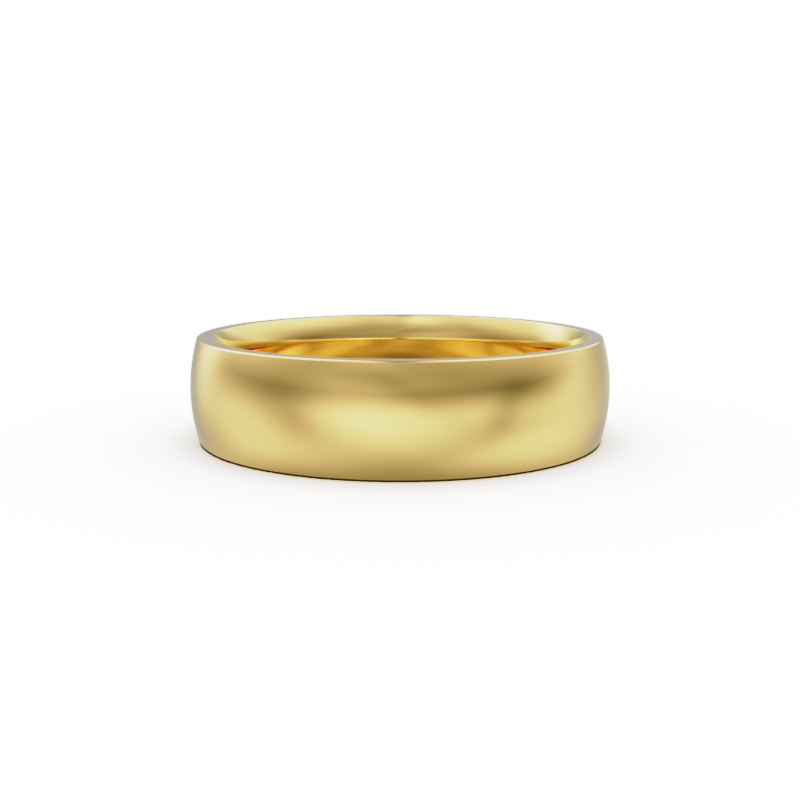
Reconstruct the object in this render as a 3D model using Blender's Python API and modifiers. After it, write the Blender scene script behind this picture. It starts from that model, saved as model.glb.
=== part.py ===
"""A plain wedding band, turned from one solid piece of gold.

Metres, +Z up along the finger axis. The band lies on its lower rim, and the origin is the centre
of the finger hole at the level of that rim. The outside is a shallow dome, the two rims are flat
with softened edges, and the bore is a comfort fit: straight in the middle, then flared towards
each rim, starting at a slight corner.
"""

import math

import bmesh
import bpy

MM = 0.001

# Driving dimensions
BAND_WIDTH = 5.0 * MM  # along the finger
OUTER_RADIUS = 10.05 * MM  # at the crown of the dome
DOME_RISE = 0.375 * MM  # from the corner of the rim out to the crown
BORE_RADIUS = 8.575 * MM  # along the straight middle, where the finger sits
RIM_INNER_RADIUS = 8.93 * MM  # where the flared bore would meet the flat rim
STRAIGHT_BORE = 2.4 * MM  # the length of the straight middle
FLARE_START = 0.088  # rise over length where the flare leaves the straight bore
FLARE_POWER = 2.43  # how much of the flare's bend is near the rim; 2 is an even bend
FLARE_CORNER = 0.05 * MM  # the length over which the corner before the flare is softened
OUTER_EDGE_RADIUS = 0.10 * MM
INNER_EDGE_RADIUS = 0.05 * MM

# How finely the curves are divided
TURN_STEPS = 96
DOME_STEPS = 12
FLARE_STEPS = 6
OUTER_EDGE_STEPS = 3
INNER_EDGE_STEPS = 2
SEAM_MERGE = 0.001 * MM

YELLOW_GOLD = (0.95, 0.654, 0.236, 1.0)
GOLD_ROUGHNESS = 0.08

HALF_WIDTH = BAND_WIDTH / 2
HALF_STRAIGHT = STRAIGHT_BORE / 2
FLARE_LENGTH = HALF_WIDTH - HALF_STRAIGHT
FLARE_BEND = RIM_INNER_RADIUS - BORE_RADIUS - FLARE_START * FLARE_LENGTH


def between(first, last, steps):
    """Evenly spaced values from first to last, with both ends."""
    return [first + (last - first) * i / steps for i in range(steps + 1)]


def arc(centre, radius, angles):
    """Points (radius from the axis, height) on an arc, its angles counted from straight outwards."""
    return [
        (centre[0] + radius * math.cos(angle), centre[1] + radius * math.sin(angle))
        for angle in angles
    ]


def mirrored(points):
    """The same run of points below mid-width, in the opposite order."""
    return [(radius, -height) for radius, height in reversed(points)]


def flare_radius(height):
    """The radius of the flared bore at this height above mid-width."""
    along = (height - HALF_STRAIGHT) / FLARE_LENGTH
    return BORE_RADIUS + FLARE_START * FLARE_LENGTH * along + FLARE_BEND * along**FLARE_POWER


def flare_slope(height):
    """The angle by which the flare opens out at this height above mid-width."""
    along = (height - HALF_STRAIGHT) / FLARE_LENGTH
    return math.atan(FLARE_START + FLARE_POWER * FLARE_BEND * along ** (FLARE_POWER - 1) / FLARE_LENGTH)


def outer_side():
    """The upper outer edge and the dome, from the upper rim down to the lower one."""
    dome_radius = (HALF_WIDTH**2 + DOME_RISE**2) / (2 * DOME_RISE)
    dome_centre = OUTER_RADIUS - dome_radius
    edge_height = HALF_WIDTH - OUTER_EDGE_RADIUS
    reach = dome_radius - OUTER_EDGE_RADIUS
    edge_centre = (dome_centre + math.sqrt(reach**2 - edge_height**2), edge_height)
    tangent = math.asin(edge_height / reach)

    edge = arc(edge_centre, OUTER_EDGE_RADIUS, between(math.pi / 2, tangent, OUTER_EDGE_STEPS))
    dome = arc((dome_centre, 0.0), dome_radius, between(tangent, -tangent, DOME_STEPS))
    return edge + dome[1:-1] + mirrored(edge)


def inner_side():
    """The bore and its two edges, from the lower rim up to the upper one."""
    touch = HALF_WIDTH
    for _ in range(20):
        touch = HALF_WIDTH - INNER_EDGE_RADIUS * (1 - math.sin(flare_slope(touch)))
    slope = flare_slope(touch)
    edge_centre = (
        flare_radius(touch) + INNER_EDGE_RADIUS * math.cos(slope),
        HALF_WIDTH - INNER_EDGE_RADIUS,
    )

    straight_end = [(BORE_RADIUS, HALF_STRAIGHT - FLARE_CORNER / 2)]
    heights = between(HALF_STRAIGHT + FLARE_CORNER / 2, touch, FLARE_STEPS)
    flare = [(flare_radius(height), height) for height in heights]
    edge = arc(
        edge_centre,
        INNER_EDGE_RADIUS,
        between(math.pi - slope, math.pi / 2, INNER_EDGE_STEPS),
    )
    upper = straight_end + flare[:-1] + edge
    return mirrored(upper) + upper


def gold():
    material = bpy.data.materials.new("yellow_gold")
    material.use_nodes = True
    shader = material.node_tree.nodes["Principled BSDF"]
    shader.inputs["Base Color"].default_value = YELLOW_GOLD
    shader.inputs["Metallic"].default_value = 1.0
    shader.inputs["Roughness"].default_value = GOLD_ROUGHNESS
    return material


def turned(name, outline, collection):
    """An object made by turning a closed outline once round +Z."""
    mesh = bpy.data.meshes.new(name)
    drawing = bmesh.new()
    corners = [drawing.verts.new((radius, 0.0, height)) for radius, height in outline]
    for i, corner in enumerate(corners):
        drawing.edges.new((corner, corners[(i + 1) % len(corners)]))
    drawing.to_mesh(mesh)
    drawing.free()

    piece = bpy.data.objects.new(name, mesh)
    collection.objects.link(piece)
    turn = piece.modifiers.new("turn", "SCREW")
    turn.axis = "Z"
    turn.angle = 2 * math.pi
    turn.steps = TURN_STEPS
    turn.render_steps = TURN_STEPS
    turn.use_smooth_shade = True
    turn.use_merge_vertices = True
    turn.merge_threshold = SEAM_MERGE
    return piece


def build():
    for old in list(bpy.data.objects):
        bpy.data.objects.remove(old, do_unlink=True)
    collection = bpy.data.collections.new("wedding_band")
    bpy.context.scene.collection.children.link(collection)

    band = turned("band", outer_side() + inner_side(), collection)
    band.location.z = HALF_WIDTH
    band.data.materials.append(gold())


build()
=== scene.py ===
"""The looks of a plain wedding band: mirror-polished yellow gold on a white table in a soft studio."""

import math

import bmesh
import bpy
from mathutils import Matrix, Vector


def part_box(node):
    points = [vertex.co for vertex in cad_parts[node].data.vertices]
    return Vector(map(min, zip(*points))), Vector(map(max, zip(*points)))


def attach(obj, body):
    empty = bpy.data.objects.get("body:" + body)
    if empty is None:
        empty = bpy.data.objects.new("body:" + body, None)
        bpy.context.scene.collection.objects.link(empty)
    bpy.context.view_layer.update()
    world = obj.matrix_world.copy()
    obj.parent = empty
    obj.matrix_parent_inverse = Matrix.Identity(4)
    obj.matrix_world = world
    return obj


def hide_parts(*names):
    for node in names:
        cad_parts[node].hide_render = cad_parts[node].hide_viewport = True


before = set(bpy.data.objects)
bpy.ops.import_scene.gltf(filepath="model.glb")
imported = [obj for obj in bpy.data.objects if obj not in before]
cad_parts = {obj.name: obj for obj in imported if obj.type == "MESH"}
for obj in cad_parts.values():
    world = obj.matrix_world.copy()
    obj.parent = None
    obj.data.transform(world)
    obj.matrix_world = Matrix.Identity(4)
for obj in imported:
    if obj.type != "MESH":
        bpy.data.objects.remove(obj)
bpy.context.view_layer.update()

BAND = "band"
band_low, band_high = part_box(BAND)

# The band's shape, as in the CAD model. Its width and outer radius come from the frame, and the
# other sizes are in millimetres, at the scale where that radius is 10.05 mm.
HALF_WIDTH = (band_high.z - band_low.z) / 2
MIDDLE = (band_low.z + band_high.z) / 2
OUTER_RADIUS = band_high.x
MM = OUTER_RADIUS / 10.05
DOME_RISE = 0.375 * MM
RIM_INNER_RADIUS = 8.93 * MM
BORE_RADIUS = 8.575 * MM
HALF_STRAIGHT = 1.2 * MM  # half the length of the straight middle of the bore
FLARE_START = 0.088  # rise over length where the flare leaves the straight bore
FLARE_POWER = 2.43  # how much of the flare's bend is near the rim; 2 is an even bend
FLARE_CORNER = 0.05 * MM  # the length over which the corner before the flare is softened
FLARE_LENGTH = HALF_WIDTH - HALF_STRAIGHT
FLARE_BEND = RIM_INNER_RADIUS - BORE_RADIUS - FLARE_START * FLARE_LENGTH
OUTER_EDGE_RADIUS = 0.10 * MM
INNER_EDGE_RADIUS = 0.05 * MM

# How finely the curves are divided
TURN_STEPS = 720
DOME_STEPS = 40
FLARE_STEPS = 24
EDGE_STEPS = 8
CONTACT_STEPS = 360

# The gold, and the clear coat that pales it at grazing angles
GOLD_COLOUR = (0.948, 0.64, 0.204, 1.0)
GRAZING_TINT = (1.0, 1.0, 0.7, 1.0)
COAT_ROUGHNESS = 0.03
COAT_IOR = 1.5
LINE_DENSITY = 9.0  # polishing lines, per millimetre across them
LINE_DRIFT = 0.4  # how far the lines' pattern changes round the band
LINE_DETAIL = 3.0
HAZE_DENSITY = 0.35 / MM  # patches of haze, 0.35 to the millimetre
HAZE_DETAIL = 2.0
POLISH_ROUGHNESS = 0.025
HAZE_ROUGHNESS = 0.03
LINE_ROUGHNESS = 0.02
LINE_STRENGTH = 0.15
LINE_DEPTH = 0.0004 * MM

# The studio's soft lights and flags: azimuth from the camera and elevation, half width and half
# height, tilt (all in degrees), how abrupt the edge is (1 is a plain glow), and strength. A flag
# takes light away, so its strength is below 0. They began as a fit to the reflections in the photo,
# and were then rounded and changed.
LIGHTS = {
    # The lit table in front of the band, brighter on the left, and to its sides
    "table_front": (-25, -8, 60, 20, -5, 0.9, 1.5),
    "table_right": (45, -1, 25, 10, -5, 1.0, 0.4),
    "table_far_left": (-85, -19, 55, 14, -18, 1.3, 0.6),
    "table_far_right": (85, -24, 55, 9, 12, 1.5, 0.4),
    # The black flags on either side of the camera, the dim strip where table and wall meet, and
    # the camera's boom
    "left_flag": (-55, -10, 27, 20, -10, 0.8, -0.8),
    "right_flag": (55, -9, 9, 12, -55, 1.2, -0.3),
    "wall_foot": (20, 3, 100, 7, 0, 1.3, -0.3),
    "boom": (10, 2, 6, 50, 55, 1.5, -0.05),
    "boom_end": (-15, 15, 20, 5, -5, 2.0, -0.1),
    # Windows at the sides and the banks overhead
    "left_window": (-123, 25, 12, 24, -18, 1.0, 1.8),
    "left_ceiling": (-112, 40, 70, 32, 10, 2.0, 0.9),
    "right_window": (106, 2, 44, 18, 25, 0.8, 0.95),
    "overhead_bank": (-13, 42, 20, 12, 10, 0.7, 1.4),
    "overhead_gap": (-5, 58, 8, 20, 10, 1.0, -0.9),
    # Behind the band
    "back_wall": (175, -5, 30, 15, -15, 1.0, 0.5),
    "back_shelf": (198, 25, 60, 6.5, 10, 1.8, 0.95),
    "back_ceiling": (160, 65, 125, 40, 10, 2.5, 1.4),
    "back_table": (200, -28, 120, 10, 0, 1.0, 0.25),
    # The table seen through the hole
    "hole_below": (0, -90, 400, 25, 0, 2.0, 0.3),
    "hole_back": (200, -65, 85, 10, 10, 2.5, 0.5),
    "hole_left": (-110, -62, 38, 22, -32, 1.0, 0.35),
    "hole_right": (90, -54, 42, 12, 15, 0.8, 0.6),
}

# The room's plain levels, and the angles in degrees over which one turns into the next
NADIR_LEVEL, TABLE_LEVEL, FOOT_LEVEL, WALL_LEVEL, ZENITH_LEVEL = 0.2, 0.25, 0.1, 0.08, 0.8
HORIZON = 5.2
HORIZON_BLUR = 0.35
TABLE_FADE = 14.0
NADIR_START = 28.0
NADIR_FADE = 32.0
ZENITH_FADE = 60.0
DARKEST_LEVEL = 0.03
ROOM_WHITE = 4.45  # the room as the table and the camera see it

# The dark gap between the overhead banks, a strip that runs from above the camera to the back
# wall. Its widths, ends and fades are parts of a unit direction.
GAP_SHARPNESS = 4.0
GAP_HALF_WIDTH = 0.12
GAP_NEAR_END = 0.65
GAP_NEAR_FADE = 0.15
GAP_LOW_END = 0.2
GAP_LOW_FADE = 0.1
GAP_DARKNESS = -0.75

# How open the sky is over a point of the table, and the table's colour there: painted shade and
# painted gold bounce light where the sky is less open
PAINTED_SHADE_TONES = [
    (0.45, (0.40, 0.34, 0.27, 1)),
    (0.57, (0.56, 0.50, 0.42, 1)),
    (0.63, (0.75, 0.67, 0.60, 1)),
    (0.72, (0.87, 0.86, 0.83, 1)),
    (1.0, (0.90, 0.90, 0.90, 1)),
]
TABLE_HALF_SIZE = 1.0
TABLE_DROP = 0.002 * MM
OPENNESS_REACH = 0.05
OPENNESS_SAMPLES = 32

# The ring that stands for the table's shade under the band's outer edge
CONTACT_INNER, CONTACT_OUTER = 9.0 * MM, 9.79 * MM
CONTACT_DROP = 0.001 * MM
CONTACT_SHADE_COLOUR = (0.045, 0.04, 0.03, 1)

# Light in the scene against brightness in the picture
WHITE_LEVEL = 4.0
TONE_CURVE = [
    (0.056, 0.0375),
    (0.15, 0.147),
    (0.5, 0.5),
    (0.7, 0.66),
    (0.9, 0.735),
    (1.2, 0.79),
    (1.6, 0.825),
    (2.0, 0.845),
    (3.0, 0.93),
]

# The camera: its distance is in outer radii from the middle of the band, and its angles are in
# degrees.
CAMERA_DISTANCE = 5.65
CAMERA_HEIGHT_ANGLE = 9.06
CAMERA_TILT = 9.81
CAMERA_LENS = 52.55
CAMERA_SENSOR = 36.0
CAMERA_NEAR, CAMERA_FAR = 0.001, 10.0

GLOSSY_BOUNCES = 12


# ---------------------------------------------------------------- shape


def between(first, last, steps):
    """Evenly spaced values from first to last, with both ends."""
    return [first + (last - first) * i / steps for i in range(steps + 1)]


def arc(centre, radius, angles):
    """Points (radius from the axis, height, angle of the outward normal) on a convex arc."""
    return [
        (centre[0] + radius * math.cos(a), centre[1] + radius * math.sin(a), a)
        for a in angles
    ]


def mirrored(points):
    """The same run of points below mid-width, in the opposite order."""
    return [(r, -z, -a) for r, z, a in reversed(points)]


def flare_radius(z):
    """The radius of the flared bore at this height above mid-width."""
    along = (z - HALF_STRAIGHT) / FLARE_LENGTH
    return BORE_RADIUS + FLARE_START * FLARE_LENGTH * along + FLARE_BEND * along**FLARE_POWER


def flare_slope(z):
    """The angle by which the flare opens out at this height above mid-width."""
    along = (z - HALF_STRAIGHT) / FLARE_LENGTH
    bend = FLARE_POWER * FLARE_BEND * along ** (FLARE_POWER - 1) / FLARE_LENGTH
    return math.atan(FLARE_START + bend)


def outer_side():
    """The upper outer edge and the dome, from the upper rim down to the lower one."""
    dome_radius = (HALF_WIDTH**2 + DOME_RISE**2) / (2 * DOME_RISE)
    dome_centre = OUTER_RADIUS - dome_radius
    edge_height = HALF_WIDTH - OUTER_EDGE_RADIUS
    reach = dome_radius - OUTER_EDGE_RADIUS
    edge_centre = (dome_centre + math.sqrt(reach**2 - edge_height**2), edge_height)
    tangent = math.asin(edge_height / reach)
    edge = arc(edge_centre, OUTER_EDGE_RADIUS, between(math.pi / 2, tangent, EDGE_STEPS))
    dome = arc((dome_centre, 0.0), dome_radius, between(tangent, -tangent, DOME_STEPS))
    return edge + dome[1:-1] + mirrored(edge)


def inner_side():
    """The bore and its two edges, from the lower rim up to the upper one."""
    # The edge touches the flare where their slopes agree, and a few rounds settle where that is.
    touch = HALF_WIDTH
    for _ in range(20):
        touch = HALF_WIDTH - INNER_EDGE_RADIUS * (1 - math.sin(flare_slope(touch)))
    slope = flare_slope(touch)
    edge_centre = (
        flare_radius(touch) + INNER_EDGE_RADIUS * math.cos(slope),
        HALF_WIDTH - INNER_EDGE_RADIUS,
    )
    straight_end = [(BORE_RADIUS, HALF_STRAIGHT - FLARE_CORNER / 2, math.pi)]
    heights = between(HALF_STRAIGHT + FLARE_CORNER / 2, touch, FLARE_STEPS)
    flare = [(flare_radius(z), z, math.pi - flare_slope(z)) for z in heights]
    edge = arc(edge_centre, INNER_EDGE_RADIUS, between(math.pi - slope, math.pi / 2, EDGE_STEPS))
    upper = straight_end + flare[:-1] + edge
    return mirrored(upper) + upper


def turns(steps):
    """The cosine and sine of each step round a full turn."""
    angles = [2 * math.pi * i / steps for i in range(steps)]
    return [(math.cos(angle), math.sin(angle)) for angle in angles]


def placed(name, drawing, z=0.0):
    """An object made of a finished drawing, at this height."""
    mesh = bpy.data.meshes.new(name)
    drawing.to_mesh(mesh)
    drawing.free()
    piece = bpy.data.objects.new(name, mesh)
    bpy.context.scene.collection.objects.link(piece)
    piece.location.z = z
    return piece


def turned_band():
    """The whole band, with the exact direction of its surface at every point."""
    outline = outer_side() + inner_side()
    drawing = bmesh.new()
    rings = [
        [drawing.verts.new((r * c, r * s, MIDDLE + z)) for r, z, _ in outline]
        for c, s in turns(TURN_STEPS)
    ]
    for i, here in enumerate(rings):
        there = rings[(i + 1) % TURN_STEPS]
        for j in range(len(outline)):
            k = (j + 1) % len(outline)
            drawing.faces.new((here[j], here[k], there[k], there[j]))
    piece = placed("polished_band", drawing)
    piece.data.shade_smooth()
    piece.data.normals_split_custom_set_from_vertices([
        (math.cos(a) * c, math.cos(a) * s, math.sin(a))
        for c, s in turns(TURN_STEPS)
        for _, _, a in outline
    ])
    return piece


# ---------------------------------------------------------------- materials


def maths(tree, operation, *values):
    """The output of a new Math node, whose inputs are numbers or other nodes' outputs."""
    node = tree.nodes.new("ShaderNodeMath")
    node.operation = operation
    for socket, value in zip(node.inputs, values):
        if isinstance(value, bpy.types.NodeSocket):
            tree.links.new(value, socket)
        else:
            socket.default_value = value
    return node.outputs[0]


def clamped(tree, value):
    """The value kept between 0 and 1."""
    node = tree.nodes.new("ShaderNodeClamp")
    tree.links.new(value, node.inputs["Value"])
    return node.outputs[0]


def axes(tree, where):
    """The x, y and z of a vector."""
    split = tree.nodes.new("ShaderNodeSeparateXYZ")
    tree.links.new(where, split.inputs[0])
    return split.outputs


def noise(tree, where, scale, detail):
    """Smooth noise from 0 to 1."""
    node = tree.nodes.new("ShaderNodeTexNoise")
    tree.links.new(where, node.inputs["Vector"])
    node.inputs["Scale"].default_value = scale
    node.inputs["Detail"].default_value = detail
    return node.outputs["Fac"]


def empty_material(name):
    """A material with no nodes yet, and its tree."""
    material = bpy.data.materials.new(name)
    material.use_nodes = True
    material.node_tree.nodes.clear()
    return material, material.node_tree


def shown(tree, shader, kind="ShaderNodeOutputMaterial"):
    """Link a shader to a new output."""
    out = tree.nodes.new(kind)
    tree.links.new(shader.outputs[0], out.inputs[0])


def gold():
    """Mirror-polished gold, with the fine lines and faint haze left by the polishing wheel."""
    material = bpy.data.materials.new("yellow_gold")
    material.use_nodes = True
    tree = material.node_tree
    shader = tree.nodes["Principled BSDF"]
    shader.inputs["Base Color"].default_value = GOLD_COLOUR
    shader.inputs["Metallic"].default_value = 1.0
    shader.inputs["Specular Tint"].default_value = GRAZING_TINT
    shader.inputs["Coat Weight"].default_value = 1.0
    shader.inputs["Coat Roughness"].default_value = COAT_ROUGHNESS
    shader.inputs["Coat IOR"].default_value = COAT_IOR
    place = tree.nodes.new("ShaderNodeTexCoord").outputs["Object"]

    # Polishing lines run round the band: they hardly change along the turn, and fast across it.
    x, y, z = axes(tree, place)
    square = maths(tree, "ADD", maths(tree, "MULTIPLY", x, x), maths(tree, "MULTIPLY", y, y))
    radius = maths(tree, "SQRT", square)
    turn = maths(tree, "ARCTAN2", y, x)
    across = tree.nodes.new("ShaderNodeCombineXYZ")
    tree.links.new(maths(tree, "MULTIPLY", radius, 1 / MM), across.inputs[0])
    tree.links.new(maths(tree, "MULTIPLY", maths(tree, "SINE", turn), LINE_DRIFT), across.inputs[1])
    tree.links.new(maths(tree, "MULTIPLY", z, 1 / MM), across.inputs[2])
    lines = noise(tree, across.outputs[0], LINE_DENSITY, LINE_DETAIL)
    haze = noise(tree, place, HAZE_DENSITY, HAZE_DETAIL)

    polish = maths(tree, "MULTIPLY_ADD", haze, HAZE_ROUGHNESS, POLISH_ROUGHNESS)
    polish = maths(tree, "ADD", polish, maths(tree, "MULTIPLY", lines, LINE_ROUGHNESS))
    tree.links.new(polish, shader.inputs["Roughness"])
    bump = tree.nodes.new("ShaderNodeBump")
    bump.inputs["Strength"].default_value = LINE_STRENGTH
    bump.inputs["Distance"].default_value = LINE_DEPTH
    tree.links.new(lines, bump.inputs["Height"])
    tree.links.new(bump.outputs[0], shader.inputs["Normal"])
    return material


# ---------------------------------------------------------------- studio


def glow(tree, azimuth, elevation, light):
    """What one light of the plan adds in this direction."""
    at_azimuth, at_elevation, half_width, half_height, tilt, sharpness, strength = light
    aside = maths(tree, "WRAP", maths(tree, "SUBTRACT", azimuth, at_azimuth), 180.0, -180.0)
    above = maths(tree, "SUBTRACT", elevation, at_elevation)
    c, s = math.cos(math.radians(tilt)), math.sin(math.radians(tilt))
    across = maths(
        tree,
        "ADD",
        maths(tree, "MULTIPLY", aside, c / half_width),
        maths(tree, "MULTIPLY", above, s / half_width),
    )
    up = maths(
        tree,
        "ADD",
        maths(tree, "MULTIPLY", aside, -s / half_height),
        maths(tree, "MULTIPLY", above, c / half_height),
    )
    square = maths(
        tree, "ADD", maths(tree, "MULTIPLY", across, across), maths(tree, "MULTIPLY", up, up)
    )
    fall = maths(tree, "MULTIPLY", maths(tree, "POWER", square, sharpness), -1.0)
    return maths(tree, "MULTIPLY", maths(tree, "EXPONENT", fall), strength)


def room(tree, elevation):
    """The plain room: a table below the horizon, walls and a ceiling above it."""
    below = maths(tree, "SUBTRACT", HORIZON, elevation)
    near = clamped(tree, maths(tree, "DIVIDE", below, TABLE_FADE))
    table_level = maths(tree, "MULTIPLY_ADD", near, TABLE_LEVEL - FOOT_LEVEL, FOOT_LEVEL)
    downward = maths(tree, "SUBTRACT", maths(tree, "MULTIPLY", elevation, -1.0), NADIR_START)
    under = clamped(tree, maths(tree, "DIVIDE", downward, NADIR_FADE))
    under = maths(tree, "MULTIPLY", under, NADIR_LEVEL - TABLE_LEVEL)
    table_level = maths(tree, "ADD", table_level, under)

    high = clamped(tree, maths(tree, "DIVIDE", below, -ZENITH_FADE))
    wall_level = maths(tree, "MULTIPLY_ADD", high, ZENITH_LEVEL - WALL_LEVEL, WALL_LEVEL)

    fall = maths(tree, "EXPONENT", maths(tree, "DIVIDE", below, HORIZON_BLUR))
    wall = maths(tree, "DIVIDE", 1.0, maths(tree, "ADD", 1.0, fall))
    return maths(
        tree,
        "ADD",
        maths(tree, "MULTIPLY", table_level, maths(tree, "SUBTRACT", 1.0, wall)),
        maths(tree, "MULTIPLY", wall_level, wall),
    )


def overhead_gap(tree, x, y, z):
    """1 in the dark gap between the overhead banks, and 0 outside it."""
    aside = maths(tree, "DIVIDE", maths(tree, "ABSOLUTE", x), GAP_HALF_WIDTH)
    fall = maths(tree, "MULTIPLY", maths(tree, "POWER", aside, GAP_SHARPNESS), -1.0)
    strip = maths(tree, "EXPONENT", fall)
    past_end = maths(tree, "DIVIDE", maths(tree, "ADD", y, GAP_NEAR_END), GAP_NEAR_FADE)
    over_wall = maths(tree, "DIVIDE", maths(tree, "SUBTRACT", z, GAP_LOW_END), GAP_LOW_FADE)
    ends = maths(tree, "MULTIPLY", clamped(tree, past_end), clamped(tree, over_wall))
    return maths(tree, "MULTIPLY", strip, ends)


def background(tree, strength):
    """A white background of this strength, a number or another node's output."""
    node = tree.nodes.new("ShaderNodeBackground")
    node.inputs["Color"].default_value = (1, 1, 1, 1)
    if isinstance(strength, bpy.types.NodeSocket):
        tree.links.new(strength, node.inputs["Strength"])
    else:
        node.inputs["Strength"].default_value = strength
    return node


def studio():
    """The room that the gold reflects; everything else is lit by a plain white one."""
    world = bpy.data.worlds.new("studio")
    bpy.context.scene.world = world
    world.use_nodes = True
    tree = world.node_tree
    tree.nodes.clear()
    x, y, z = axes(tree, tree.nodes.new("ShaderNodeTexCoord").outputs["Generated"])
    turn = maths(tree, "ARCTAN2", x, maths(tree, "MULTIPLY", y, -1.0))
    azimuth = maths(tree, "DEGREES", turn)
    elevation = maths(tree, "DEGREES", maths(tree, "ARCSINE", z))

    level = room(tree, elevation)
    for light in LIGHTS.values():
        level = maths(tree, "ADD", level, glow(tree, azimuth, elevation, light))
    dimming = maths(tree, "MULTIPLY_ADD", overhead_gap(tree, x, y, z), GAP_DARKNESS, 1.0)
    level = maths(tree, "MULTIPLY", level, dimming)
    level = maths(tree, "MAXIMUM", level, DARKEST_LEVEL)

    path = tree.nodes.new("ShaderNodeLightPath")
    mix = tree.nodes.new("ShaderNodeMixShader")
    tree.links.new(path.outputs["Is Glossy Ray"], mix.inputs[0])
    tree.links.new(background(tree, ROOM_WHITE).outputs[0], mix.inputs[1])
    tree.links.new(background(tree, level).outputs[0], mix.inputs[2])
    shown(tree, mix, "ShaderNodeOutputWorld")
    world.cycles.sampling_method = "NONE"


def table():
    """The white table, whose colour carries painted shade near the band. The plan of lights stands for
    it in the gold's reflections.
    """
    drawing = bmesh.new()
    bmesh.ops.create_grid(drawing, size=TABLE_HALF_SIZE)
    floor = placed("table", drawing, band_low.z - TABLE_DROP)
    material, tree = empty_material("white_table_painted_shade")
    # Close to the band the table's colour is darker and warmer: painted shade, and painted gold light
    # thrown back on it.
    nearby = tree.nodes.new("ShaderNodeAmbientOcclusion")
    nearby.samples = OPENNESS_SAMPLES
    nearby.inputs["Distance"].default_value = OPENNESS_REACH
    painted_shade_ramp = tree.nodes.new("ShaderNodeValToRGB")
    stops = painted_shade_ramp.color_ramp.elements
    stops[0].position, stops[0].color = PAINTED_SHADE_TONES[0]
    stops[1].position, stops[1].color = PAINTED_SHADE_TONES[-1]
    for position, colour in PAINTED_SHADE_TONES[1:-1]:
        stops.new(position).color = colour
    tree.links.new(nearby.outputs["AO"], painted_shade_ramp.inputs[0])
    shader = tree.nodes.new("ShaderNodeBsdfDiffuse")
    tree.links.new(painted_shade_ramp.outputs[0], shader.inputs["Color"])
    shown(tree, shader)
    floor.data.materials.append(material)
    floor.visible_glossy = False


def contact():
    """The painted shade under the band's outer edge: a dark ring that only reflections see."""
    drawing = bmesh.new()
    rings = [
        [drawing.verts.new((r * c, r * s, 0)) for r in (CONTACT_INNER, CONTACT_OUTER)]
        for c, s in turns(CONTACT_STEPS)
    ]
    for i, here in enumerate(rings):
        there = rings[(i + 1) % CONTACT_STEPS]
        drawing.faces.new((here[0], here[1], there[1], there[0]))
    shade = placed("contact_shade", drawing, band_low.z - CONTACT_DROP)
    material, tree = empty_material("shade")
    shader = tree.nodes.new("ShaderNodeEmission")
    shader.inputs["Color"].default_value = CONTACT_SHADE_COLOUR
    shown(tree, shader)
    shade.data.materials.append(material)
    shade.visible_camera = False
    shade.visible_diffuse = False
    shade.visible_shadow = False


def film():
    """Standard view with a soft shoulder, as a camera gives bright metal."""
    settings = bpy.context.scene.view_settings
    settings.view_transform = "Standard"
    settings.use_curve_mapping = True
    mapping = settings.curve_mapping
    mapping.white_level = (WHITE_LEVEL, WHITE_LEVEL, WHITE_LEVEL)
    mapping.clip_max_x = 1.0
    mapping.extend = "HORIZONTAL"
    all_channels = mapping.curves[3]
    for light, brightness in TONE_CURVE:
        all_channels.points.new(light / WHITE_LEVEL, brightness)
    all_channels.points[0].location = (0, 0)
    all_channels.points[-1].location = (1, 1)
    mapping.update()


def camera():
    """The camera, at the photograph's viewing angle."""
    data = bpy.data.cameras.new("camera")
    data.sensor_width = CAMERA_SENSOR
    data.lens = CAMERA_LENS
    data.clip_start = CAMERA_NEAR
    data.clip_end = CAMERA_FAR
    eye = bpy.data.objects.new("camera", data)
    bpy.context.scene.collection.objects.link(eye)
    away = CAMERA_DISTANCE * OUTER_RADIUS
    rise = math.radians(CAMERA_HEIGHT_ANGLE)
    eye.location = (0, -away * math.cos(rise), MIDDLE + away * math.sin(rise))
    eye.rotation_euler = (math.radians(90 - CAMERA_TILT), 0, 0)
    bpy.context.scene.camera = eye


band = turned_band()
band.data.materials.append(gold())
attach(band, "root")
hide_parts(BAND)
table()
contact()
studio()
film()
camera()
bpy.context.scene.cycles.glossy_bounces = GLOSSY_BOUNCES
